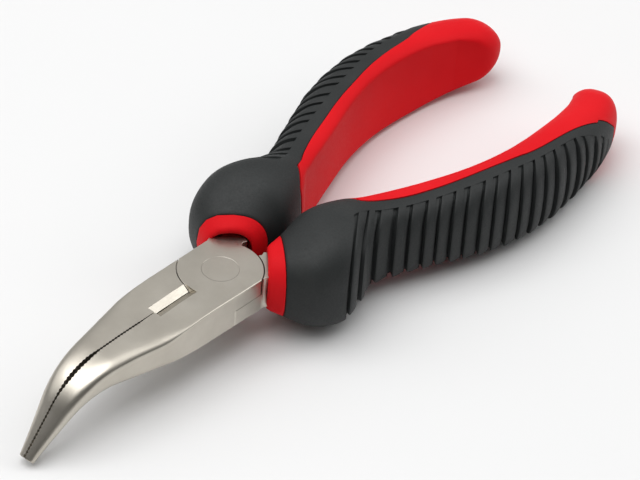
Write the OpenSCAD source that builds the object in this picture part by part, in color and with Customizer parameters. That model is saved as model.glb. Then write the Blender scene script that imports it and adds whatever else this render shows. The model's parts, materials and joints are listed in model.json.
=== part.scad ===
// Bent nose pliers with a lap joint, side cutters and two-part grips.
// Tool frame: the pivot is at the origin with its axis along Z, the jaws point to -Y
// and the handles to +Y. place() then lays the closed tool on its grips.

/* [Head] */
// Thickness of the joint and of the flat part of the jaws
head_t = 8; // [7.6:0.1:8.4]
// Radius of the two half discs that lap on each other at the pivot
disc_r = 8.9; // [8.7:0.05:9.1]
// Half width of the head at the pivot
head_half_w = 8.2; // [8:0.05:8.4]
// Running gap between the lapped discs
lap_gap = 0.06; // [0.04:0.01:0.1]
// Gap between a disc's rim and the shoulder around it
shoulder_gap = 0.15; // [0.1:0.01:0.2]
// Gap left between the closed jaw faces
jaw_gap = 0.06; // [0.04:0.01:0.1]

/* [Jaws] */
// Distance from the pivot to where the nose starts to taper
nose_start = 12; // [11:0.5:12.5]
// Straight length of the nose before the bend
nose_straight = 22.2; // [20:0.2:23]
// Radius of the bend, along the centre line
bend_r = 16; // [15:0.5:17]
// Angle of the bend
bend_angle = 47; // [44:1:48]
// Straight length from the bend to the tip
tip_len = 11.9; // [11:0.1:12.5]
// Half width of the wire cutter's bevels at the face
cutter_half_w = 1.75; // [1.5:0.05:1.9]
// Depth of the wire cutter's bevels
cutter_depth = 0.9; // [0.7:0.05:1.2]
// Distance from the pivot to the cutter's rear end
cutter_rear = 8.6; // [8:0.1:9.2]
// Distance from the pivot to the cutter's front end
cutter_front = 19; // [17:0.5:20]

/* [Rivet] */
// Radius of the pivot rivet's shank
rivet_r = 2.75; // [2.5:0.05:3]
// Radius of its countersunk heads at the face
rivet_head_r = 3.9; // [3.6:0.05:4.2]
// Depth of the heads
rivet_head_t = 0.9; // [0.7:0.05:1.1]
// Radial running clearance in the lower lever
rivet_gap = 0.04; // [0.02:0.01:0.08]

/* [Grips] */
// Thickness of the soft cover
cover_t = 1.8; // [1.4:0.1:2]
// Length of the rounded end of a grip
cap_len = 7.5; // [6:0.5:9]
// Exponent of the grip's rounded-square section
grip_power = 2.5; // [2.2:0.1:3]
// How far the tang sits below the head's faces
tang_step = 0.4; // [0.3:0.05:0.6]

/* [Hidden] */
steel = "silver";
red = "crimson";
black = "darkslategray";
half_t = head_t / 2;
shoulder_r = disc_r + shoulder_gap;
tang_play = 0.03;
facets = 96;

// Nose stations: distance from nose_start, half width, half thickness, section exponent
nose_length = nose_straight + bend_r * bend_angle * PI / 180 + tip_len;
NOSE = [[0, head_half_w - 0.1, half_t, 40], [5, 8.15, 3.75, 24], [10.4, 8.1, 3.55, 8],
        [15, 7.2, 3.45, 6.8], [18, 6.6, 3.35, 6], [22.2, 5.9, 3.1, 4.8], [26.3, 5.3, 2.87, 3.8],
        [29.1, 4.95, 2.7, 3.1], [32.2, 4.5, 2.4, 2.6], [35.7, 3.9, 1.95, 2.4],
        [39.7, 3.1, 1.67, 2.3], [43.7, 2.35, 1.35, 2.3], [nose_length, 1.75, 1.1, 2.3]];
// Extra relief of each jaw face, past the straight gripping part
RELIEF = [[24, 0], [28, 0.3], [33, 0.3], [37, 0]];
nose_rings = 26;
jaw_half_points = 7;

// Grip stations on the +X side: outer point and inner point in plan, half height
GRIP = [[9.1, 4.6, 1.5, 12, 6.6], [12.6, 6.2, 1.3, 15.6, 7.9], [18.3, 9.7, 0.9, 18.4, 10],
        [20.9, 16.2, 0.7, 21, 11.8], [20, 22.2, 1.4, 24.4, 12.1], [17.7, 27.1, 3.3, 29.4, 11.2],
        [18.3, 31.8, 5.6, 35.6, 9.7], [22.9, 42.5, 9.9, 47.5, 9.2], [27.7, 55.2, 13.9, 58.8, 9.8],
        [29.6, 68.7, 15.8, 69.3, 10.1], [28.2, 82.9, 15.4, 81.1, 9.6], [25.2, 95.9, 13.2, 92.1, 8],
        [19.1, 107, 9.9, 103, 6.2]];
// Half width of the steel tang at the stations that it reaches
TANG = [4.3, 4.3, 4, 3.6, 3.2, 2.8, 2.6, 2.4, 2];
tang_start = -0.3;    // station in the joint where the tang's sides start
// Plan of the tang's root between the joint and the collar, on the +X side
ROOT = [[0, 0], [head_half_w + 0.1, 0], [head_half_w + 0.1, 4.7], [2.3, 10.4], [2.7, 9.4], [2.2, 8.5]];
ring_end = 1;         // station where the red collar ends and the cover starts
waist = 5.3;          // station where the cover stops wrapping all round
cover_end = 11.1;     // station where the cover ends before the red cap
sides = 28;           // points round a grip
least_half = 0.3;     // half size below which a grip's section does not shrink
border_cells = 8;     // width of the cover behind the waist, to each side of the outer line
steps_per_station = 3;
cap_rings = 5;
last = len(GRIP) - 1;

// Rest position: the underside touches at the bulge and at the middle of the grips
bulge_touch = [20.5, 12.2];
grip_touch = [77, 9.86];
rest_tilt = atan((bulge_touch[1] - grip_touch[1]) / (grip_touch[0] - bulge_touch[0]));
rest_drop = bulge_touch[0] * sin(rest_tilt) + bulge_touch[1] * cos(rest_tilt);
mid_y = 24.93;       // middle of the whole length, in the laid frame

module place() {
    translate([0, -mid_y, rest_drop]) rotate([-rest_tilt, 0, 0]) children();
}

// Closed tube through a list of rings that all have the same number of points
module loft(rings) {
    n = len(rings[0]);
    m = len(rings);
    polyhedron(
        points = [for (r = rings) each r],
        faces = [
            [for (i = [0:n - 1]) i],
            [for (i = [n - 1:-1:0]) (m - 1) * n + i],
            for (k = [0:m - 2], i = [0:n - 1])
                [k * n + i, (k + 1) * n + i, (k + 1) * n + (i + 1) % n],
            for (k = [0:m - 2], i = [0:n - 1])
                [k * n + i, (k + 1) * n + (i + 1) % n, k * n + (i + 1) % n]
        ]);
}

function signed_pow(v, e) = sign(v) * pow(abs(v), e);
function column(table, c) = [for (row = table) [row[0], row[c]]];

// Point of the nose's centre line and its direction, at distance d from nose_start
function nose_turn(d) = max(0, min(bend_angle, (d - nose_straight) / bend_r * 180 / PI));
function nose_y(d) = -nose_start - min(d, nose_straight) - bend_r * sin(nose_turn(d))
    - max(0, d - nose_length + tip_len) * cos(bend_angle);
function nose_z(d) = -bend_r * (1 - cos(nose_turn(d)))
    - max(0, d - nose_length + tip_len) * sin(bend_angle);
// Half section of the nose on the +X side, with a flat face towards the other jaw
function jaw_ring(d) =
    let (w = lookup(d, column(NOSE, 1)), t = lookup(d, column(NOSE, 2)),
         e = 2 / lookup(d, column(NOSE, 3)), a = nose_turn(d),
         face = jaw_gap / 2 + lookup(d, RELIEF))
    [for (k = [-jaw_half_points:jaw_half_points])
        let (f = 90 * k / jaw_half_points, v = t * signed_pow(sin(f), e))
        [max(face, w * signed_pow(cos(f), e)), nose_y(d) - v * sin(a), nose_z(d) + v * cos(a)]];

module nose() {
    loft([for (k = [0:nose_rings]) jaw_ring(nose_length * k / nose_rings)]);
}

// Catmull-Rom curve through the grip stations
function spline(p, q, r, s, t) = 0.5 * (2 * q + (r - p) * t + (2 * p - 5 * q + 4 * r - s) * t * t
    + (3 * q - p - 3 * r + s) * t * t * t);
function station(i) = i < 0 ? 2 * GRIP[0] - GRIP[1]
    : i > last ? 2 * GRIP[last] - GRIP[last - 1] : GRIP[i];
function grip_at(s) = let (i = min(floor(s), last - 1))
    spline(station(i - 1), station(i), station(i + 1), station(i + 2), s - i);
function mid_point(g) = [(g[0] + g[2]) / 2, (g[1] + g[3]) / 2];
function half_span(g) = [(g[0] - g[2]) / 2, (g[1] - g[3]) / 2];
// The end of the grip closes along a quarter of an ellipse
cap_start = last - cap_len / norm(mid_point(GRIP[last]) - mid_point(GRIP[last - 1]));
function cap_scale(s) = s < cap_start ? 1
    : sqrt(max(0.004, 1 - pow((s - cap_start) / (last - cap_start), 2)));
RINGS = concat([for (k = [0:steps_per_station * (last - 1)]) k / steps_per_station],
               [for (k = [0:cap_rings]) cap_start + (last - cap_start) * sin(90 * k / cap_rings)]);

// Points of the +X grip, ring by ring, inset below its skin
function grip_points(inset) = [for (s = RINGS)
    let (g = grip_at(s), m = mid_point(g), h = half_span(g), c = cap_scale(s), e = 2 / grip_power)
    for (k = [0:sides - 1])
        let (f = 360 * k / sides,
             p = m + max(least_half, norm(h) * c - inset) * signed_pow(cos(f), e) * h / norm(h),
             v = max(least_half, g[4] * c - inset) * signed_pow(sin(f), e))
        [p[0], p[1], v]];
SKIN = grip_points(0);
UNDER = grip_points(cover_t);
N_SKIN = len(SKIN);
cells = len(RINGS) - 1;

// Cell (i, k) lies between rings i and i + 1 and between points k and k + 1
function covered(i, k) = let (s = (RINGS[i] + RINGS[i + 1]) / 2, side = min(k, sides - 1 - k))
    s > ring_end && s < cover_end && (s < waist || side < border_cells);
function at(i, k, level) = level * N_SKIN + i * sides + (k + sides) % sides;
// Two triangles, always cut along the same diagonal whichever way they face
function quad(a, b, c, d, flip) = flip ? [[a, b, c], [a, c, d]] : [[c, b, a], [d, c, a]];
function cell_face(i, k, level, flip) =
    quad(at(i, k, level), at(i, k + 1, level), at(i + 1, k + 1, level), at(i + 1, k, level), flip);
// Wall from the skin to the surface under the cover, along the edge from point p to point q
function wall(p, q, flip) =
    quad(at(p[0], p[1], 0), at(q[0], q[1], 0), at(q[0], q[1], 1), at(p[0], p[1], 1), flip);
function is_covered(i, k) = i >= 0 && i < cells && covered(i, (k + sides) % sides);
// Walls round the covered cells, facing out of the cover or, flipped, out of the core
function walls(flip) = [for (i = [0:cells - 1], k = [0:sides - 1]) if (covered(i, k)) each concat(
    is_covered(i - 1, k) ? [] : wall([i, k], [i, k + 1], flip),
    is_covered(i + 1, k) ? [] : wall([i + 1, k], [i + 1, k + 1], !flip),
    is_covered(i, k - 1) ? [] : wall([i, k], [i + 1, k], !flip),
    is_covered(i, k + 1) ? [] : wall([i, k + 1], [i + 1, k + 1], flip))];

module grip_core() {
    difference() {
        polyhedron(points = concat(SKIN, UNDER), faces = concat(
            [[for (k = [sides - 1:-1:0]) at(0, k, 0)], [for (k = [0:sides - 1]) at(cells, k, 0)]],
            [for (i = [0:cells - 1], k = [0:sides - 1])
                each cell_face(i, k, covered(i, k) ? 1 : 0, true)],
            walls(true)));
        tang_solid(tang_play);
    }
}

module grip_cover() {
    polyhedron(points = concat(SKIN, UNDER), faces = concat(
        [for (i = [0:cells - 1], k = [0:sides - 1]) if (covered(i, k))
            each concat(cell_face(i, k, 0, true), cell_face(i, k, 1, false))],
        walls(false)));
}

// Tang inside the +X grip, larger by play on every side
module tang_solid(play) {
    s_end = len(TANG) - 1;
    steps = concat([tang_start], [for (k = [0:2 * s_end]) k / 2]);
    function half(s) = lookup(s, [for (i = [0:s_end]) [i, TANG[i]]]) + play;
    function edge(s, side) = let (g = grip_at(s), h = half_span(g))
        mid_point(g) + side * half(s) * h / norm(h);
    translate([0, 0, -half_t + tang_step - play])
        linear_extrude(head_t - 2 * tang_step + 2 * play)
            polygon(concat([for (s = steps) edge(s, 1)],
                           [for (k = [len(steps) - 1:-1:0]) edge(steps[k], -1)]));
}

// Plan of the +X jaw from the pivot to where the nose starts
module jaw_root() {
    polygon([[jaw_gap / 2, 0], [head_half_w, 0],
             [NOSE[0][1], -nose_start], [jaw_gap / 2, -nose_start]]);
}

module disc_plan() {
    intersection() {
        circle(disc_r, $fn = facets);
        square([2 * head_half_w, 3 * disc_r], center = true);
    }
}

// Middle of the lever whose disc is the upper layer: jaw on the +X side, tang on the -X side.
// The other lever is the same shape, turned over about the Y axis.
module joint_half() {
    translate([0, 0, lap_gap / 2]) linear_extrude(half_t - lap_gap / 2) disc_plan();
    difference() {
        union() {
            translate([0, 0, -half_t]) linear_extrude(head_t) {
                jaw_root();
                mirror([1, 0, 0]) polygon(ROOT);
            }
            mirror([1, 0, 0]) tang_solid(0);
        }
        // pocket for the other lever's disc
        translate([0, 0, -head_t])
            cylinder(h = head_t + lap_gap / 2, r = shoulder_r, $fn = facets);
    }
}

module cutter_groove() {
    over = half_t + 1;
    translate([0, -cutter_rear, 0]) rotate([90, 0, 0]) linear_extrude(cutter_front - cutter_rear)
        polygon([[-cutter_half_w, half_t], [0, half_t - cutter_depth], [cutter_half_w, half_t],
                 [cutter_half_w, over], [-cutter_half_w, over]]);
}

module upper_lever() {
    color(steel) place() difference() {
        union() {
            joint_half();
            nose();
        }
        rivet_shape(0);
        cutter_groove();
    }
}

module lower_lever() {
    color(steel) place() difference() {
        union() {
            rotate([0, 180, 0]) joint_half();
            mirror([1, 0, 0]) nose();
        }
        rivet_shape(rivet_gap);
        cutter_groove();
    }
}

// Shank with a countersunk head at each face, larger by play all round
module rivet_shape(play) {
    head_z = half_t - rivet_head_t;
    translate([0, 0, -half_t - play]) cylinder(h = head_t + 2 * play, r = rivet_r + play, $fn = facets);
    for (side = [-1, 1])
        mirror([0, 0, side < 0 ? 1 : 0]) translate([0, 0, head_z - play])
            cylinder(h = rivet_head_t + play, r1 = rivet_r + play, r2 = rivet_head_r + play, $fn = facets);
}

module pivot_rivet() {
    color(steel) place() rivet_shape(0);
}

module left_grip_core() {
    color(red) place() mirror([1, 0, 0]) grip_core();
}

module right_grip_core() {
    color(red) place() grip_core();
}

module left_grip_cover() {
    color(black) place() mirror([1, 0, 0]) grip_cover();
}

module right_grip_cover() {
    color(black) place() grip_cover();
}

upper_lever();
lower_lever();
pivot_rivet();
left_grip_core();
right_grip_core();
left_grip_cover();
right_grip_cover();
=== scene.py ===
import json
import math

import bmesh
import bpy
import numpy as np
from mathutils import Matrix, Vector


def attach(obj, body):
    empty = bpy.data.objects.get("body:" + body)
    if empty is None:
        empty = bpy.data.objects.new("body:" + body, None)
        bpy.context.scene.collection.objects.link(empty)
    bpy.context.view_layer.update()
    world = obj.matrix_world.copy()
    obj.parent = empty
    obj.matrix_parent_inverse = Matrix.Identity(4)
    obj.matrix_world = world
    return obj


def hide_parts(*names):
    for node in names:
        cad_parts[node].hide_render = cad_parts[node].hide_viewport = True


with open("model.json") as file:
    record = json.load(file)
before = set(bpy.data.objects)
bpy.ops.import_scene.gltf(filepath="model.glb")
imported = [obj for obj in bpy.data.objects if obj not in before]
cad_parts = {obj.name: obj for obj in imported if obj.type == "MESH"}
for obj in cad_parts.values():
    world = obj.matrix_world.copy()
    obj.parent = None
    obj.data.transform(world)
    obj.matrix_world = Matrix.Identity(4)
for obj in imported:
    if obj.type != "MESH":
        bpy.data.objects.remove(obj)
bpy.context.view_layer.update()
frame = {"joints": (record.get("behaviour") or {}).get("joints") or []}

# ---------------------------------------------------------------- tool frame
# Shapes are built in millimetres in the tool frame of the CAD part: the pivot at the
# origin with its axis along Z, the jaws to -Y, the handles to +Y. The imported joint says
# where that frame lies.
JOINT = frame["joints"][0]
MILLIMETRE = 0.001
TOOL_X = Vector((1, 0, 0))
TOOL_Z = -Vector(JOINT["axis"]).normalized()
TOOL_Y = TOOL_Z.cross(TOOL_X)
TOOL = Matrix((TOOL_X, TOOL_Y, TOOL_Z)).transposed().to_4x4()
TOOL.translation = Vector(JOINT["pos_m"])
TOOL = TOOL @ Matrix.Scale(MILLIMETRE, 4)


# ---------------------------------------------------------------- meshes
def new_object(name, verts, faces):
    mesh = bpy.data.meshes.new(name)
    mesh.from_pydata([tuple(v) for v in verts], [], [tuple(f) for f in faces])
    obj = bpy.data.objects.new(name, mesh)
    bpy.context.scene.collection.objects.link(obj)
    return obj


def clean(obj, merge=1e-4):
    bm = bmesh.new()
    bm.from_mesh(obj.data)
    bmesh.ops.remove_doubles(bm, verts=bm.verts, dist=merge)
    bmesh.ops.dissolve_degenerate(bm, edges=bm.edges, dist=merge)
    bmesh.ops.recalc_face_normals(bm, faces=bm.faces)
    bm.to_mesh(obj.data)
    bm.free()


def new_solid(name, verts, faces):
    obj = new_object(name, verts, faces)
    clean(obj)
    return obj


def bake_modifiers(obj):
    graph = bpy.context.evaluated_depsgraph_get()
    mesh = bpy.data.meshes.new_from_object(obj.evaluated_get(graph))
    obj.modifiers.clear()
    obj.data = mesh


def boolean(obj, other, operation):
    mod = obj.modifiers.new("bool", "BOOLEAN")
    mod.operation = operation
    mod.object = other
    mod.solver = "EXACT"
    bake_modifiers(obj)
    bpy.data.objects.remove(other)


def finish_piece(obj, body, node, material, sharp_angle):
    obj.data.transform(TOOL)
    obj.data.polygons.foreach_set("use_smooth", [True] * len(obj.data.polygons))
    obj.data.set_sharp_from_angle(angle=math.radians(sharp_angle))
    obj.data.materials.clear()
    obj.data.materials.append(material)
    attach(obj, body)
    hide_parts(node)


def grid_faces(rows, cols, wrap):
    """Quads between rows of points; wrap joins each row's last point to its first."""
    last = cols if wrap else cols - 1
    return [(i * cols + k, i * cols + (k + 1) % cols,
             (i + 1) * cols + (k + 1) % cols, (i + 1) * cols + k)
            for i in range(rows - 1) for k in range(last)]


def tube_faces(rows, cols):
    """Faces of a solid through closed rows of points, with both ends filled."""
    first = tuple(range(cols))[::-1]
    last = tuple((rows - 1) * cols + k for k in range(cols))
    return grid_faces(rows, cols, True) + [first, last]


def prism(name, outline, z0, z1):
    verts = [(x, y, z) for z in (z0, z1) for x, y in outline]
    return new_solid(name, verts, tube_faces(2, len(outline)))


ROUND_STEPS = 144


def lathe(name, profile):
    """Solid of revolution about Z; profile is (radius, z) from bottom to top."""
    turns = [2 * math.pi * k / ROUND_STEPS for k in range(ROUND_STEPS)]
    verts = [(0, 0, profile[0][1]), (0, 0, profile[-1][1])]
    verts += [(r * math.cos(a), r * math.sin(a), z) for r, z in profile for a in turns]

    def ring(i, k):
        return 2 + i * ROUND_STEPS + k % ROUND_STEPS

    top = len(profile) - 1
    faces = [(0, ring(0, k + 1), ring(0, k)) for k in range(ROUND_STEPS)]
    faces += [(1, ring(top, k), ring(top, k + 1)) for k in range(ROUND_STEPS)]
    faces += [(ring(i, k), ring(i, k + 1), ring(i + 1, k + 1), ring(i + 1, k))
              for i in range(top) for k in range(ROUND_STEPS)]
    return new_solid(name, verts, faces)


def turn_over(obj):
    obj.data.transform(Matrix.Rotation(math.pi, 4, "Y"))


def mirror_x(obj):
    obj.data.transform(Matrix.Scale(-1, 4, (1, 0, 0)))
    obj.data.flip_normals()


def soften(obj, width):
    """Rounds every edge of a prism a little."""
    bevel = obj.modifiers.new("bevel", "BEVEL")
    bevel.width = width
    bevel.segments = 3
    bevel.limit_method = "ANGLE"
    bake_modifiers(obj)
    return obj


def read_table(x, table):
    """Value at x of a table of pairs, straight between its rows."""
    return np.interp(x, *zip(*table))


# ---------------------------------------------------------------- steel levers
HALF_T = 4.0  # half the thickness of the lap joint
GAP = 0.045  # from the middle plane to either lever's flat face
HEAD_W = 8.2  # half the width of the joint
EDGE_R = 0.28  # rounded edges of the joint
EDGE_STRIP = 0.12  # flat strip beside a rounded edge, which keeps its shading crisp
BEYOND = 0.5  # how far a cutting shape reaches past what it cuts
STEP = 0.01  # keeps faces of shapes that are joined out of one plane

NOSE_START = 12.0  # the nose starts this far in front of the pivot
NOSE_STRAIGHT = 22.2  # its length before the bend
BEND_R = 16.0
BEND = 47.0  # degrees
TIP_LEN = 11.9  # length after the bend
NOSE_LEN = NOSE_STRAIGHT + BEND_R * math.radians(BEND) + TIP_LEN
# distance from the nose's start, half width, half thickness, exponent of the section
NOSE = np.array([
    (-12, 8.2, 4, 40), (0, 8.1, 4, 40), (5, 8.15, 3.75, 24), (10.4, 8.1, 3.55, 8),
    (15, 7.2, 3.45, 6.8), (18, 6.6, 3.35, 6), (22.2, 5.9, 3.1, 4.8), (26.3, 5.3, 2.87, 3.8),
    (29.1, 4.95, 2.7, 3.1), (32.2, 4.5, 2.4, 2.6), (35.7, 3.9, 1.95, 2.4),
    (39.7, 3.1, 1.67, 2.3), (43.7, 2.35, 1.35, 2.3), (NOSE_LEN, 1.75, 1.1, 2.3)])
NOSE_BLUR = np.linspace(-1.6, 1.6, 9)  # the table is averaged over this stretch
NOSE_BACK = -12  # the jaw is joined to the lever as far back as this
BOX_TO_OVAL = (0.5, 9.5)  # the section goes from a box to a rounded shape here
OVAL_ANGLES = (0, 3, 9, 18, 27, 36, 44, 51, 58, 65, 71, 76.5, 81.5, 86, 90)

# The faces that meet have a gap, teeth and, on their upper part, a slight relief.
JAW_GAP = 0.09
TEETH_START = 9.0
TEETH_FULL = 12.0
TOOTH_PITCH = 0.8
TOOTH_DEPTH = 0.22
RELIEF = ((22, 0), (25, 0.3), (29.5, 0.3), (34, 0))  # distance along the nose, depth
RELIEF_LOW = -0.5  # height where it starts, as a share of the half thickness
RELIEF_RISE = 0.3  # and the share over which it grows
TIP_ROUND = 0.22  # length over which the tip is rounded
TIP_RINGS = ((0.55, 0.97), (0.9, 0.91), (1.0, 0.84))  # share of the rounding, size

# Plan of the tang's root and of the narrower tang that runs into the grip, on -X. The
# root is a little thinner than the joint, so that no two faces lie in one plane.
ROOT = [(0, 0), (-8.19, 0), (-8.19, 4.6), (-9.35, 7.2), (-5.4, 12.2), (-2.35, 10.35),
        (-2.7, 9.4), (-2.2, 8.5)]
ROOT_T = 3.98
ROOT_EDGE = 0.1
TANG = [(-7.0, 2.5), (-9.5, 9.5), (-14.2, 20), (-9.0, 20), (-5.0, 13.5), (-3.2, 9)]
TANG_T = 3.3
TANG_EDGE = 0.2

DISC_R = 8.9
SHOULDER_R = 9.1  # the other lever's hollow round the disc
POCKET_BELOW = 2  # the hollow is cut from this far outside the joint
DISC_TOP = 3.99
DISC_FOOT = 0.04  # small chamfer below
DISC_EDGE = 0.12  # rounded edge above
DISC_EDGE_MID = 0.035  # its middle point is this far in
DISC_BAR = 12  # the disc is trimmed to the joint's width by a bar this long each way
BAR_INSET = 0.004  # keeps the disc's sides out of the jaws' planes
CUTTER = dict(half=1.75, depth=0.9, rear=8.6, front=19.0, reach=1.4, rows=8)
RIVET = dict(shank=2.75, head=3.9, sink=0.9, play=0.02, end=3.99, edge=0.05, flare=0.55)
STEEL_SHARP = 24  # degrees


def nose_place(d, v):
    """Point of the nose's middle plane at distance d, v above its centre line."""
    turn = math.radians(min(BEND, max(0.0, (d - NOSE_STRAIGHT) / BEND_R * 180 / math.pi)))
    far = max(0.0, d - (NOSE_LEN - TIP_LEN))
    y = -NOSE_START - min(d, NOSE_STRAIGHT) - BEND_R * math.sin(turn)
    z = -BEND_R * (1 - math.cos(turn))
    y -= far * math.cos(math.radians(BEND))
    z -= far * math.sin(math.radians(BEND))
    return y - v * math.sin(turn), z + v * math.cos(turn)


def ease(x, low, high):
    """Rises smoothly from 0 at low to 1 at high."""
    x = min(1.0, max(0.0, (x - low) / (high - low)))
    return x * x * (3 - 2 * x)


def quarter_box(w, t):
    """Quarter of a box's outline from (w, 0) to (0, t), with a rounded corner."""
    r = EDGE_R
    side = [(w, 0), (w, t * 0.5), (w, t - r - EDGE_STRIP)]
    arc = [(w - r + r * math.cos(a), t - r + r * math.sin(a))
           for a in np.radians(np.linspace(0, 90, 7))]
    top = [(w - r - EDGE_STRIP, t), (w * 0.8, t), (w * 0.5, t), (w * 0.25, t), (0, t)]
    return side + arc + top


def quarter_oval(w, t, e):
    """The same for a superellipse, with as many points."""
    return [(w * math.cos(math.radians(a)) ** e, t * math.sin(math.radians(a)) ** e)
            for a in OVAL_ANGLES]


def with_mirror(quarter):
    """Adds the same points below the centre line."""
    return [(x, -v) for x, v in quarter[:0:-1]] + quarter


def jaw_section(d):
    """Ring of points round the +X jaw at distance d along the nose."""
    w, t, exponent = (np.interp(d + NOSE_BLUR, NOSE[:, 0], NOSE[:, column]).mean()
                      for column in (1, 2, 3))
    mix = ease(d, *BOX_TO_OVAL)
    pairs = zip(quarter_box(w, t), quarter_oval(w, t, 2 / exponent))
    half = with_mirror([((1 - mix) * a[0] + mix * b[0], (1 - mix) * a[1] + mix * b[1])
                        for a, b in pairs])
    face = JAW_GAP
    relief = read_table(d, RELIEF)
    if d > TEETH_START:
        phase = (d - TEETH_START) / TOOTH_PITCH % 1
        face += TOOTH_DEPTH * abs(2 * phase - 1) * ease(d, TEETH_START, TEETH_FULL)

    def face_at(v):
        return face + relief * min(1, max(0, (v / t - RELIEF_LOW) / RELIEF_RISE))

    ring = [(max(face_at(v), x), v) for x, v in half]
    ring += [(face_at(v), v) for v in (t * 0.5, 0, -t * 0.2, -t * 0.5)]
    return [(x, *nose_place(d, v)) for x, v in ring]


def jaw(name):
    plain = [*np.linspace(NOSE_BACK, 0, 5), *np.linspace(0.75, TEETH_START, 12)]
    end = NOSE_LEN - TIP_ROUND
    step = TOOTH_PITCH / 2
    toothed = np.arange(TEETH_START + step, end - 0.1, step)
    rows = [jaw_section(d) for d in [*plain, *toothed, end]]
    tip = rows[-1]
    centre = np.mean(tip, axis=0)
    push = np.array([0, *nose_place(NOSE_LEN, 0)]) - np.array([0, *nose_place(end, 0)])
    for share, size in TIP_RINGS:
        rows.append([tuple(centre + (np.array(p) - centre) * size + push * share) for p in tip])
    return new_solid(name, [p for row in rows for p in row], tube_faces(len(rows), len(tip)))


def pocket(lower):
    """Room for the other lever's disc, below the plane where the levers meet."""
    room = lathe("pocket", [(SHOULDER_R, -HALF_T - POCKET_BELOW), (SHOULDER_R, GAP + STEP)])
    if lower:
        turn_over(room)
    return room


def joint_disc(lower):
    disc = lathe("disc", [(DISC_R - DISC_FOOT, GAP), (DISC_R, GAP + DISC_FOOT),
                          (DISC_R, DISC_TOP - DISC_EDGE),
                          (DISC_R - DISC_EDGE_MID, DISC_TOP - DISC_EDGE_MID),
                          (DISC_R - DISC_EDGE, DISC_TOP)])
    half = with_mirror(quarter_box(HEAD_W - BAR_INSET, HALF_T))
    ring = half + [(-x, z) for x, z in half[-2:0:-1]]
    verts = [(x, y, z) for y in (-DISC_BAR, DISC_BAR) for x, z in ring]
    boolean(disc, new_solid("bar", verts, tube_faces(2, len(ring))), "INTERSECT")
    if lower:
        turn_over(disc)
    return disc


def rivet_hole():
    r = RIVET["shank"] + RIVET["play"]
    head = RIVET["head"] + RIVET["play"]
    wide = head + RIVET["flare"]
    z = HALF_T - RIVET["sink"]
    return lathe("hole", [(wide, -HALF_T - BEYOND), (head, -HALF_T), (r, -z),
                          (r, z), (head, HALF_T), (wide, HALF_T + BEYOND)])


def cutter_groove():
    """V cut above the split of the jaws; it follows the jaws' falling top."""
    depth, reach = CUTTER["depth"], CUTTER["reach"]
    wide = reach * CUTTER["half"]
    points = []
    for y in np.linspace(CUTTER["rear"], CUTTER["front"], CUTTER["rows"]):
        top = max(v for _, _, v in jaw_section(y - NOSE_START))
        rise = top + (reach - 1) * depth
        points += [(-wide, -y, rise), (0, -y, top - depth), (wide, -y, rise),
                   (wide, -y, HALF_T + 1), (-wide, -y, HALF_T + 1)]
    return new_solid("groove", points, tube_faces(CUTTER["rows"], 5))


def lever(name, body, node, lower, material):
    obj = soften(prism(name, ROOT, -ROOT_T, ROOT_T), ROOT_EDGE)
    boolean(obj, soften(prism("tang", TANG, -TANG_T, TANG_T), TANG_EDGE), "UNION")
    nose = jaw("jaw")
    if lower:
        turn_over(obj)
        mirror_x(nose)
    boolean(obj, pocket(lower), "DIFFERENCE")
    boolean(nose, pocket(lower), "DIFFERENCE")
    boolean(obj, joint_disc(lower), "UNION")
    boolean(obj, nose, "UNION")
    boolean(obj, cutter_groove(), "DIFFERENCE")
    boolean(obj, rivet_hole(), "DIFFERENCE")
    clean(obj, 1e-3)
    finish_piece(obj, body, node, material, STEEL_SHARP)
    obj.modifiers.new("even", "WEIGHTED_NORMAL").keep_sharp = True
    bake_modifiers(obj)


def rivet(name, body, node, material):
    r, head, end, edge = (RIVET[key] for key in ("shank", "head", "end", "edge"))
    z = HALF_T - RIVET["sink"]
    rim = [(head - 2 * edge, end - edge), (head - edge, end)]
    flat_rings = [(head * 0.9, end), (head * 0.5, end)]
    half = [(r, 0), (r, z + RIVET["play"])] + rim + flat_rings
    obj = lathe(name, [(a, -b) for a, b in half[:0:-1]] + half)
    finish_piece(obj, body, node, material, STEEL_SHARP)


# ---------------------------------------------------------------- grips
# stations on the +X side: outer x, y, inner x, y, half height
GRIP = np.array([
    (9.1, 4.6, 1.5, 12, 6.6), (12.6, 6.2, 1.3, 15.6, 7.9), (18.3, 9.7, 0.9, 18.4, 10.0),
    (20.9, 16.2, 0.7, 21, 11.8), (20, 22.2, 1.4, 24.4, 12.1), (17.7, 27.1, 3.3, 29.4, 11.2),
    (18.3, 31.8, 5.6, 35.6, 9.7), (22.9, 42.5, 9.9, 47.5, 9.2), (27.7, 55.2, 13.9, 58.8, 9.8),
    (29.6, 68.7, 15.8, 69.3, 10.1), (28.2, 82.9, 15.4, 81.1, 9.6), (25.2, 95.9, 13.2, 92.1, 8),
    (19.1, 107, 9.9, 103, 6.2)])
LAST = len(GRIP) - 1
PADDED = np.vstack([2 * GRIP[0] - GRIP[1], GRIP, 2 * GRIP[-1] - GRIP[-2]])
POWER = 2 / 2.5  # the section is a superellipse of exponent 2.5
CAP_LEN = 7.5  # the end is rounded over this length
CAP_LEAST = 0.0025  # square of the share of the section left at the very end
MIDS = (GRIP[:, :2] + GRIP[:, 2:4]) / 2
CAP_START = LAST - CAP_LEN / np.linalg.norm(MIDS[-1] - MIDS[-2])
THINNEST = 0.2  # least half width and half height of a section
# station, share of the half width at which the inner face is cut flat
FLAT = ((4.6, 1.3), (5.0, 0.9), (5.6, 0.72), (6.3, 0.68), (8.5, 0.68), (9.5, 0.64),
        (10.3, 0.6), (10.9, 0.62), (11.3, 0.75), (11.7, 1.0), (12, 1.3))
FLAT_SOFT = 0.025  # how soft the edge of that flat is, as the same share


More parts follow.
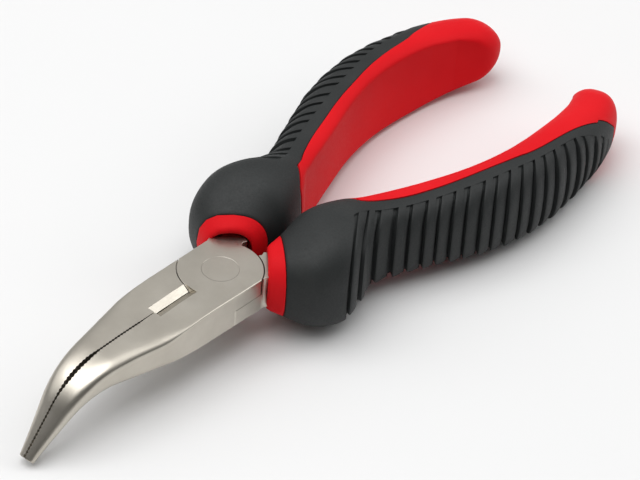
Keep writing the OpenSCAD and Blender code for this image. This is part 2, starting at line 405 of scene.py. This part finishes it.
def station(s):
    """Row of the grip's table at any station, on a smooth curve through the rows."""
    s = np.clip(s, 0, LAST)
    i = np.minimum(np.floor(s), LAST - 1).astype(int)
    t = (s - i)[..., None]
    p, q, r, e = (PADDED[i + k] for k in range(4))
    return 0.5 * (2 * q + (r - p) * t + (2 * p - 5 * q + 4 * r - e) * t ** 2
                  + (3 * q - p - 3 * r + e) * t ** 3)


def power(x, e):
    return np.sign(x) * np.abs(x) ** e


def skin(s, phi, inset_u=0.0, inset_v=0.0):
    """Points of the grip's surface at station s and angle phi (degrees, 0 outwards)."""
    s, phi = np.broadcast_arrays(np.asarray(s, float), np.asarray(phi, float))
    row = station(s)
    mid = (row[..., :2] + row[..., 2:4]) / 2
    half = (row[..., :2] - row[..., 2:4]) / 2
    width = np.linalg.norm(half, axis=-1)
    past = (s - CAP_START) / (LAST - CAP_START)
    cap = np.where(s < CAP_START, 1, np.sqrt(np.clip(1 - past ** 2, CAP_LEAST, 1)))
    a = np.radians(phi)
    u = power(np.cos(a), POWER)
    v = power(np.sin(a), POWER)
    flat = read_table(s, FLAT)
    u = -flat + FLAT_SOFT * np.logaddexp(0, (u + flat) / FLAT_SOFT)
    u = u * np.maximum(THINNEST, width * cap - inset_u) / width
    v = v * np.maximum(THINNEST, row[..., 4] * cap - inset_v)
    return np.concatenate([mid + u[..., None] * half, v[..., None]], -1)


def normals(s, phi):
    """Outward directions of the grip's surface, from four points close by."""
    step_s, step_phi = 0.01, 0.6
    along = skin(s + step_s, phi) - skin(s - step_s, phi)
    around = skin(s, phi + step_phi) - skin(s, phi - step_phi)
    n = np.cross(around, along)
    n /= np.linalg.norm(n, axis=-1, keepdims=True) + 1e-12
    row = station(np.asarray(s, float))
    out = skin(s, phi)
    out[..., :2] -= (row[..., :2] + row[..., 2:4]) / 2
    return n * np.sign((n * out).sum(-1, keepdims=True))


# Ribs are cut along upright planes. Rib number t is whole where a rib rises from the
# smooth strip and whole and a half where a rib rises inside its shallow recess.
RIB_FIRST = 0.5
RIB_STEP = 0.5
RIB_COUNT = 21
RIB_T = np.concatenate([np.arange(RIB_FIRST, 10.6, RIB_STEP), [11.0, 11.5]])
RIB_S = np.array([3.15, 3.85, 5.4, 6.12, 6.43, 6.71, 6.95, 7.2, 7.44, 7.70, 7.94, 8.20, 8.48,
                  8.75, 9.03, 9.31, 9.62, 9.92, 10.17, 10.46, 10.70, 10.95, 11.2])
RIB_LEAN = ((0.5, 51), (5, 51), (6, 47), (7, 40), (7.5, 34), (8, 26), (8.5, 18), (9, 8),
            (9.5, -4), (10, -12), (11.5, -16))
RIB_END = 10.9  # the ribs end here, and the cover at COVER_END
COVER_END = 11.5
COVER_ROUND = 0.6  # its rows close up over this last stretch
# Angle of the ribs' upper end at rib t, and of the cover's upper edge at a station.
FIELD_TOP = ((0.2, 84), (1, 84), (2, 79), (3, 81), (4, 84), (5, 85), (6, 85), (7, 80), (8, 75),
             (9, 68), (9.5, 60), (10, 46), (10.5, 16), (10.9, 3), (11.5, 0.0))
BORDER = ((5.3, 117), (5.6, 110), (5.85, 103), (6.25, 98), (6.6, 96), (7, 97), (7.4, 98),
          (7.8, 100.5), (8.25, 101.5), (8.6, 99.5), (9.0, 96.5), (9.45, 91.5), (9.83, 87),
          (10.2, 80), (10.5, 70), (10.7, 60), (10.85, 50), (11.0, 36), (11.1, 18), (11.17, 8),
          (11.2, 0))
FIELD_BLUR, BORDER_BLUR = 0.5, 0.22
BORDER_MOST = 116.0
SEARCH_BACK, SEARCH_AHEAD = 1.2, 3.2  # a rib's plane stays within these stations of its start
FIELD_SHARE = 0.93  # the ribs' upper end stays inside this share of the cover's edge
# angle, station: the edge where the cover stops wrapping all round
WAIST_S = ((112, 5.48), (118, 5.36), (124, 5.24), (146, 4.78), (166, 4.62), (180, 4.6))
WAIST_FROM = 97  # from this angle on, that edge leaves the first rib
COVER_T = 1.65
UNDER_PLAY = 0.1  # from the cover's inner side to the core
ROLL = 6.0  # the pattern is turned upwards on the left grip, downwards on the right one
ROLL_TOP_FROM, ROLL_BORDER_FROM = 30, 60  # it isn't turned where these angles are small

# Each rib falls away from its edge to a narrow line cut before the next one. Depths in
# millimetres, places as shares of one rib.
RIB_DEPTH = 0.95
RIB_EDGE, RIB_EDGE_DEPTH = 0.09, 0.14  # rounding of a rib's edge
EDGE_GROW = 1.5  # the rounding fades once this times the rib's share of depth is under 1
LINE_FROM, LINE_SLOPE, LINE_DEPTH = 0.8, 0.04, 0.5
RECESS, LEDGE = 0.38, 0.22  # depth of the recess and width of its floor
INSIDE_RECESS = 0.1  # ribs inside the recess are this much lower
FIRST_RISE = 0.6  # share of the depth in the recess before the first rib
RIB_GROW = ((0, 1), (0.4, 1), (0.62, 0.75), (0.8, 0.33), (1, 0.12))  # column, share of depth
RIB_FADE = ((9, 1), (10, 0.85), (10.6, 0.6), (RIB_END, 0))  # rib number, share of depth
LINE_GROW = ((0, 0.6), (0.4, 0.6), (0.75, 1), (0.98, 1), (1, 0))
LINE_FADE = ((9, 1), (10.3, 0))
RIB_ROWS_WHOLE = (0, 0.02, 0.05, 0.1, 0.18, 0.275, 0.285, 0.34, 0.4, 0.42, 0.45, 0.488)
RIB_ROWS_INSIDE = (0, 0.02, 0.05, 0.12, 0.2, 0.28, 0.36, 0.4, 0.42, 0.45, 0.488)

# Columns round the grip: v runs 0 at the outer line, 1 at the ribs' upper end, 2 at the
# cover's edge, 3 inside.
FIELD_V = np.concatenate([np.linspace(0, 0.985, 34), [1.0]])
STRIP_V = np.array([1.15, 1.35, 1.55, 1.75, 1.87, 1.95, 2.0])
INNER_V = 2 + np.linspace(0, 1, 37)[1:]
UNDER_V = np.array([-2, -1.9, -1.5, -1, -0.75, -0.5, -0.25, 0, 0.25, 0.5, 0.75, 1, 1.5, 1.9, 2])

# Where the cover wraps all round: rows as shares of the way from station 1 to the waist.
WRAP_START = 1  # the cover's front edge is at this station
WRAP_SHARE = np.concatenate([[0, 0.006, 0.02, 0.05], np.linspace(0.09, 0.88, 24),
                             [0.896, 0.903, 0.93, 0.96, 0.98, 0.994]])
WRAP_RIBS = 2.2  # rib numbers go on falling by this much towards the front edge
FRONT_EDGE = ((0, 0.45), (0.006, 0.22), (0.02, 0.06), (0.05, 0))  # share, depth
WAIST_EDGE = ((0.96, 0), (0.98, 0.08), (0.994, 0.3))
SIDE_EDGE = ((1.75, 0), (1.87, 0.05), (1.95, 0.14), (2, 0.32))  # column, depth
WAIST_COLUMNS = ((1.95, 0), (2, 1))
END_EDGE = 0.3
END_LEN = 0.25  # the cover gets thinner over this last part of a rib
END_THIN = ((0, 0.25), (END_LEN, 1))  # distance from the end, share of the thickness

# The core's collar, from the bottom of the opening outwards: station, inset across, up.
COLLAR = ((1.6, 2.4, 3.3), (0.98, 2.3, 3.1), (0.86, 1.15, 1.95), (0.4, 0.95, 1.7),
          (0.16, 0.86, 1.55), (0.05, 0.72, 1.3), (0.0, 0.55, 1.0), (0.0, 0.38, 0.7),
          (0.03, 0.2, 0.4), (0.1, 0.09, 0.18), (0.2, 0.03, 0.06), (0.35, 0, 0),
          (0.5, 0, 0), (0.65, 0, 0), (0.8, 0, 0), (0.9, 0, 0), (0.97, 0, 0), (1.0, 0, 0))
# rib number, station of the core's inner face in that row
INNER_S = ((0.5, 4.6), (1, 5.3), (1.5, 5.95), (2, 6.4), (3, 7.0), (COVER_END, 11.2))
WAIST_LAST = 3  # the core's rows follow the waist's edge up to this rib
WAIST_REACH = 3  # fully so from the first third of the inner face on
NECK_ROWS, BACK_ROWS, END_ROWS, CAP_ROWS = 14, 90, 20, 15
SURE_ANGLE = 118  # beyond this angle a rib's plane may miss the surface
GRIP_SHARP = 38  # degrees
GRIP_MERGE = 2e-3


def blurred(x, table, width):
    """Value of a table, averaged over a short stretch so that it has no corners."""
    return np.mean([read_table(x + k * width, table) for k in np.linspace(-1, 1, 7)], 0)


def halve(low, high, steps, is_past):
    """Closes in on the value between low and high from which is_past is true."""
    for _ in range(steps):
        mid = (low + high) / 2
        past = is_past(mid)
        low, high = np.where(past, low, mid), np.where(past, mid, high)
    return (low + high) / 2


def rib_station(t, phi):
    """Station at which the plane of rib t crosses the surface at angle phi."""
    t, phi = np.broadcast_arrays(np.asarray(t, float), np.asarray(phi, float))
    lean = np.radians(read_table(t, RIB_LEAN))
    n = np.stack([np.sin(lean), np.cos(lean)], -1)
    s0 = np.interp(t, RIB_T, RIB_S)
    offset = (n * skin(s0, 0 * s0)[..., :2]).sum(-1)

    def is_past(s):
        return (n * skin(s, phi)[..., :2]).sum(-1) > offset

    return np.minimum(halve(s0 - SEARCH_BACK, s0 + SEARCH_AHEAD, 26, is_past), LAST)


def border_angle(t):
    """Angle at which the plane of rib t reaches the cover's upper edge."""
    def is_past(angle):
        return angle > blurred(rib_station(t, angle), BORDER, BORDER_BLUR)

    return halve(np.zeros_like(t), np.full_like(t, BORDER_MOST), 22, is_past)


def rounded_end(count):
    """Rib numbers that close up towards the cover's end."""
    return COVER_END - COVER_ROUND * np.cos(np.radians(np.linspace(0, 90, count)))


def rib_rows():
    rows = []
    for k in range(RIB_COUNT):
        offsets = RIB_ROWS_INSIDE if k % 2 == 0 else RIB_ROWS_WHOLE
        rows += [RIB_FIRST + k * RIB_STEP + offset for offset in offsets]
    return np.array([t for t in rows if t < RIB_END] + list(rounded_end(16)))


def rib_depth(t, v):
    """How far the cover's surface lies below the grip's, at rib t and column v."""
    a = np.abs(v)
    grow = read_table(a, RIB_GROW)
    deep = RIB_DEPTH * grow * read_table(t, RIB_FADE)
    p = t % 1
    inside = p >= RIB_STEP
    saw = np.where(inside, p - RIB_STEP, p) / RIB_STEP
    edge = RIB_EDGE_DEPTH * np.clip(1 - saw / RIB_EDGE, 0, 1) ** 2
    line = LINE_DEPTH * np.clip((saw - LINE_FROM) / LINE_SLOPE, 0, 1) * read_table(a, LINE_GROW)
    line = line * read_table(t, LINE_FADE)
    depth = deep * saw ** 2 + line + edge * np.minimum(1, grow * EDGE_GROW)
    depth = np.where(inside, depth + INSIDE_RECESS, depth)
    depth = np.where(~inside & (p > RIB_STEP - LEDGE), np.maximum(depth, RECESS), depth)
    ledge = RIB_FIRST - LEDGE
    first = np.where(t > ledge, RECESS + deep * (t - ledge) / LEDGE * FIRST_RISE, 0)
    depth = np.where(t < RIB_FIRST, first, depth)
    return np.where((a >= 1) | (t >= RIB_END), 0, depth)


def angles(top, border, v, roll):
    """Angle of column v; roll turns the whole pattern a little round the grip."""
    sign = np.where(v < 0, -1, 1)
    a = np.abs(v)
    top = top + roll * sign * (top > ROLL_TOP_FROM)
    border = border + roll * sign * (border > ROLL_BORDER_FROM)
    field = a * top
    strip = top + (a - 1) * (border - top)
    inner = border + (a - 2) * (180 - border)
    return sign * np.where(a <= 1, field, np.where(a <= 2, strip, inner))


def waist_station(phi):
    """Station of the edge where the cover stops wrapping all round."""
    a = np.abs(phi)
    last = WAIST_S[0][0]
    edge = rib_station(RIB_FIRST, np.minimum(a, last))
    drop = rib_station(RIB_FIRST, last) - WAIST_S[0][1]
    share = np.clip((a - WAIST_FROM) / (last - WAIST_FROM), 0, 1)
    return np.where(a <= last, edge - drop * share ** 2, read_table(a, WAIST_S))


def roll_of(mirrored):
    return ROLL if mirrored else -ROLL


def first_angles(v, roll):
    """Angles of the columns at the first rib."""
    border = border_angle(np.array([RIB_FIRST]))[0]
    return angles(blurred(RIB_FIRST, FIELD_TOP, FIELD_BLUR), border, v, roll)


def finish_grip(name, points, faces, mirrored, body, node, material):
    if mirrored:
        points = points * (-1, 1, 1)
    obj = new_object(name, points, faces)
    clean(obj, GRIP_MERGE)
    finish_piece(obj, body, node, material, GRIP_SHARP)


def layers(s, phi, depth, under):
    """Outer and inner side of the cover, below the grip's surface."""
    n = normals(s, phi)
    p = skin(s, phi)
    return p - n * depth[..., None], p - n * under[..., None]


def cover_wrap(v, phi):
    """The cover's front part, which wraps all round the core."""
    share = WRAP_SHARE
    s = WRAP_START + (waist_station(phi) - WRAP_START) * share[:, None]
    phi = np.repeat(phi[None], len(share), 0)
    t = RIB_FIRST - WRAP_RIBS * (1 - share)
    depth = rib_depth(t[:, None], v[None])
    depth += read_table(share, FRONT_EDGE)[:, None]
    depth += read_table(share, WAIST_EDGE)[:, None] * read_table(np.abs(v), WAIST_COLUMNS)
    return layers(s, phi, depth, np.full(s.shape, COVER_T))


def cover_field(v, roll):
    """The cover's rear part, which has the ribs and leaves the inner face free."""
    t = rib_rows()
    border = border_angle(t)
    border[-1] = 0
    top = np.minimum(blurred(t, FIELD_TOP, FIELD_BLUR), border * FIELD_SHARE)
    phi = angles(top[:, None], border[:, None], v[None], roll)
    s = rib_station(t[:, None], phi)
    depth = np.maximum(rib_depth(t[:, None], v[None]), read_table(np.abs(v), SIDE_EDGE))
    depth[-1] = END_EDGE
    thick = COVER_T * read_table(COVER_END - t, END_THIN)
    return layers(s, phi, depth, np.repeat(thick[:, None], len(v), 1))


def cover_faces(wrap_rows, wrap_cols, field_rows, field_cols, left):
    """Faces of the cover. Its inner side has the same points in the same order, after
    the outer side's; left is the wrap's column where the field's first one goes on."""
    field = wrap_rows * wrap_cols
    layer = field + field_rows * field_cols
    rear = field - wrap_cols
    outer = grid_faces(wrap_rows, wrap_cols, True)
    outer += [tuple(field + i for i in face) for face in grid_faces(field_rows, field_cols, False)]
    outer += [(rear + left + k, rear + left + k + 1, field + k + 1, field + k)
              for k in range(field_cols - 1)]
    inner = [tuple(layer + i for i in face[::-1]) for face in outer]

    right = left + field_cols - 1
    end = layer - field_cols
    edges = [(k, (k + 1) % wrap_cols) for k in range(wrap_cols)]
    edges += [(rear + (k + 1) % wrap_cols, rear + k) for k in range(wrap_cols)
              if not left <= k < right]
    for start, column in ((left, 0), (right, field_cols - 1)):
        chain = [rear + start] + [field + i * field_cols + column for i in range(field_rows)]
        edges += zip(chain, chain[1:])
    edges += [(end + k, end + k + 1) for k in range(field_cols - 1)]
    return outer + inner + [(p, q, layer + q, layer + p) for p, q in edges]


def cover(name, body, node, mirrored, material):
    roll = roll_of(mirrored)
    v = np.concatenate([-INNER_V[-2::-1], -STRIP_V[::-1], -FIELD_V[:0:-1],
                        FIELD_V, STRIP_V, INNER_V])
    open_v = v[np.abs(v) <= 2]
    wrap = cover_wrap(v, first_angles(v, roll))
    field = cover_field(open_v, roll)
    points = np.concatenate([side.reshape(-1, 3) for pair in zip(wrap, field) for side in pair])
    left = int(np.argmax(np.abs(v) <= 2))
    faces = cover_faces(*wrap[0].shape[:2], *field[0].shape[:2], left)
    finish_grip(name, points, faces, mirrored, body, node, material)


def core_row(t, border, v, hidden, roll):
    """Row of the core along rib t, under the cover and over the free inner face."""
    top = min(blurred(t, FIELD_TOP, FIELD_BLUR), border * FIELD_SHARE)
    phi = angles(top, border, v, roll)
    near = rib_station(t, np.clip(phi, -SURE_ANGLE, SURE_ANGLE))
    inside = np.clip(np.abs(v) - 2, 0, 1)
    far = read_table(t, INNER_S)
    if t == RIB_FIRST:
        s = np.where(hidden, near, waist_station(phi))
    else:
        s = near + (far - near) * inside
        if t < WAIST_LAST:
            bend = waist_station(phi) + (far - INNER_S[0][1])
            share = 1 - (t - RIB_FIRST) / (WAIST_LAST - RIB_FIRST)
            s = s + (bend - s) * share * np.minimum(1, inside * WAIST_REACH)
        s = np.where(np.abs(v) <= 2, near, s)
    sink = (COVER_T + UNDER_PLAY) * min(1, (COVER_END - t) / END_LEN) * hidden
    return skin(s, phi) - normals(s, phi) * sink[:, None]


def core(name, body, node, mirrored, material):
    roll = roll_of(mirrored)
    v = np.concatenate([UNDER_V, [2.0], INNER_V, -INNER_V[-2::-1], [-2.0]])
    hidden = np.arange(len(v)) < len(UNDER_V)
    phi = first_angles(v, roll)
    rows = [skin(np.full(len(v), s), phi, across, up) for s, across, up in COLLAR]
    waist = waist_station(phi)
    for share in np.linspace(0.0, 1.0, NECK_ROWS):
        s = WRAP_START + (waist - WRAP_START) * share
        rows.append(skin(s, phi) - normals(s, phi) * (COVER_T + UNDER_PLAY))
    back = np.linspace(RIB_FIRST, COVER_END - COVER_ROUND, BACK_ROWS)
    t = np.concatenate([back, rounded_end(END_ROWS)[1:]])
    border = border_angle(t)
    border[-1] = 0
    rows += [core_row(*pair, v, hidden, roll) for pair in zip(t, border)]
    phi = angles(0.0, 0.0, v, 0.0)
    cap = INNER_S[-1][1]
    for turn in np.linspace(0, 90, CAP_ROWS)[1:]:
        s = cap + (LAST - cap) * math.sin(math.radians(turn))
        rows.append(skin(np.full(len(v), s), phi))
    points = np.array(rows).reshape(-1, 3)
    faces = tube_faces(len(rows), len(v))
    finish_grip(name, points, faces, mirrored, body, node, material)


# ---------------------------------------------------------------- materials
GRAIN_LOW, GRAIN_HIGH = 0.3, 0.7  # noise values between which the roughness runs


def noise(nodes, links, coords, scale, detail, roughness, stretch=None):
    tex = nodes.new("ShaderNodeTexNoise")
    tex.inputs["Scale"].default_value = scale
    tex.inputs["Detail"].default_value = detail
    tex.inputs["Roughness"].default_value = roughness
    if stretch:
        mapping = nodes.new("ShaderNodeMapping")
        mapping.inputs["Scale"].default_value = stretch
        links.new(coords, mapping.inputs["Vector"])
        coords = mapping.outputs["Vector"]
    links.new(coords, tex.inputs["Vector"])
    return tex.outputs["Fac"]


def ramp(nodes, links, value, stops):
    """Colour ramp; each stop is a position and either a colour or one grey value."""
    node = nodes.new("ShaderNodeValToRGB")
    elements = node.color_ramp.elements
    while len(elements) < len(stops):
        elements.new(0.5)
    for element, (position, colour) in zip(elements, stops):
        element.position = position
        element.color = (*colour, 1) if isinstance(colour, tuple) else (colour, colour, colour, 1)
    links.new(value, node.inputs["Fac"])
    return node.outputs["Color"]


def surface(name, patches, colours, specular):
    """Material whose colour changes softly in patches (scale, detail and roughness)."""
    mat = bpy.data.materials.new(name)
    mat.use_nodes = True
    nodes, links = mat.node_tree.nodes, mat.node_tree.links
    shader = nodes["Principled BSDF"]
    coords = nodes.new("ShaderNodeTexCoord").outputs["Object"]
    colour = ramp(nodes, links, noise(nodes, links, coords, *patches), colours)
    links.new(colour, shader.inputs["Base Color"])
    shader.inputs["Specular IOR Level"].default_value = specular
    return mat, nodes, links, shader, coords


def grained_surface(name, patches, colours, grain, roughness, relief, specular=0.5, metallic=0.0):
    """The same with a fine grain in its roughness and its relief (strength and metres)."""
    mat, nodes, links, shader, coords = surface(name, patches, colours, specular)
    fine = noise(nodes, links, coords, *grain)
    low, high = roughness
    links.new(ramp(nodes, links, fine, [(GRAIN_LOW, low), (GRAIN_HIGH, high)]),
              shader.inputs["Roughness"])
    bump = nodes.new("ShaderNodeBump")
    bump.inputs["Strength"].default_value, bump.inputs["Distance"].default_value = relief
    links.new(fine, bump.inputs["Height"])
    links.new(bump.outputs["Normal"], shader.inputs["Normal"])
    shader.inputs["Metallic"].default_value = metallic
    return mat


STEEL = grained_surface(
    "satin_steel", patches=(90, 4, 0.6), grain=(2600, 3, 0.6, (1.0, 0.35, 1.0)),
    colours=[(0.3, (0.50, 0.465, 0.405)), (0.55, (0.55, 0.515, 0.45)),
             (0.75, (0.60, 0.565, 0.50))],
    roughness=(0.31, 0.37), relief=(0.06, 0.00002), metallic=1.0)
RED = grained_surface(
    "red_plastic", patches=(60, 3, 0.5), grain=(1500, 2, 0.5),
    colours=[(0.3, (0.63, 0.009, 0.014)), (0.7, (0.69, 0.012, 0.017))],
    roughness=(0.42, 0.52), relief=(0.08, 0.00003), specular=0.04)
BLACK = grained_surface(
    "black_rubber", patches=(110, 5, 0.6), grain=(2400, 3, 0.6),
    colours=[(0.3, (0.012, 0.014, 0.014)), (0.6, (0.016, 0.018, 0.018)),
             (0.8, (0.023, 0.025, 0.024))],
    roughness=(0.52, 0.68), relief=(0.25, 0.00004), specular=0.38)

# ---------------------------------------------------------------- the pliers
lever("upper_lever_steel", "upper_side", "upper_lever", False, STEEL)
lever("lower_lever_steel", "lower_side", "lower_lever", True, STEEL)
rivet("rivet_flush", "upper_side", "pivot_rivet", STEEL)
for side, body, mirrored in (("left", "upper_side", True), ("right", "lower_side", False)):
    core(side + "_red_core", body, side + "_grip_core", mirrored, RED)
    cover(side + "_ribbed_cover", body, side + "_grip_cover", mirrored, BLACK)


# ---------------------------------------------------------------- stage
FLOOR_HALF = 6
LIGHT_TARGET = Vector((0, 0, 0.01))
# name, place, size, watts
LIGHTS = (("key", (-0.12, -0.25, 1.2), (1.3, 1.2), 13.0),
          ("back", (0.27, 0.66, 0.86), (0.5, 0.4), 1.5),
          ("back_right", (0.66, 0.80, 0.58), (0.7, 0.5), 2.0),
          ("front_left", (-0.9, -0.5, 0.8), (0.8, 0.8), 2.0))
SKY_SIDE = (-0.35, 0.45, 0.82)  # the sky is brightest on this side
SKY_GREYS = [(0.0, 0.11), (0.2, 0.18), (0.45, 0.36), (0.75, 0.58), (1.0, 0.70)]
SKY_STRENGTH = 0.9
CAM_AT = Vector((0.36504, -0.41155, 0.49596))
CAM_FORWARD = Vector((-0.49335, 0.56374, -0.66242))
CAM_RIGHT = Vector((0.73329, 0.67918, 0.03186))
CAM_LENS, CAM_SENSOR = 198, 36


def floor():
    size = FLOOR_HALF
    corners = [(-size, -size, 0), (size, -size, 0), (size, size, 0), (-size, size, 0)]
    obj = new_object("floor", corners, [(0, 1, 2, 3)])
    mat, _, _, shader, _ = surface("studio_floor", (3, 2, 0.5), [(0.3, 0.76), (0.7, 0.78)], 0.1)
    shader.inputs["Roughness"].default_value = 0.9
    obj.data.materials.append(mat)


def area_light(name, at, size, watts):
    data = bpy.data.lights.new(name, "AREA")
    data.shape = "RECTANGLE"
    data.size, data.size_y = size
    data.energy = watts
    obj = bpy.data.objects.new(name, data)
    obj.location = at
    obj.rotation_mode = "QUATERNION"
    obj.rotation_quaternion = (LIGHT_TARGET - Vector(at)).to_track_quat("-Z", "Y")
    bpy.context.scene.collection.objects.link(obj)


def sky():
    world = bpy.data.worlds.new("studio")
    bpy.context.scene.world = world
    world.use_nodes = True
    nodes, links = world.node_tree.nodes, world.node_tree.links
    towards = nodes.new("ShaderNodeVectorMath")
    towards.operation = "DOT_PRODUCT"
    towards.inputs[1].default_value = SKY_SIDE
    coords = nodes.new("ShaderNodeTexCoord")
    links.new(coords.outputs["Generated"], towards.inputs[0])
    background = nodes["Background"]
    links.new(ramp(nodes, links, towards.outputs["Value"], SKY_GREYS), background.inputs["Color"])
    background.inputs["Strength"].default_value = SKY_STRENGTH


def camera():
    obj = bpy.data.objects.new("camera", bpy.data.cameras.new("camera"))
    bpy.context.scene.collection.objects.link(obj)
    up = CAM_RIGHT.cross(CAM_FORWARD)
    pose = Matrix((CAM_RIGHT, up, -CAM_FORWARD)).transposed().to_4x4()
    pose.translation = CAM_AT
    obj.matrix_world = pose
    obj.data.lens = CAM_LENS
    obj.data.sensor_width = CAM_SENSOR
    obj.data.clip_start = 0.01
    obj.data.clip_end = 20
    bpy.context.scene.camera = obj


floor()
for light in LIGHTS:
    area_light(*light)
sky()
camera()
bpy.context.scene.view_settings.view_transform = "Standard"
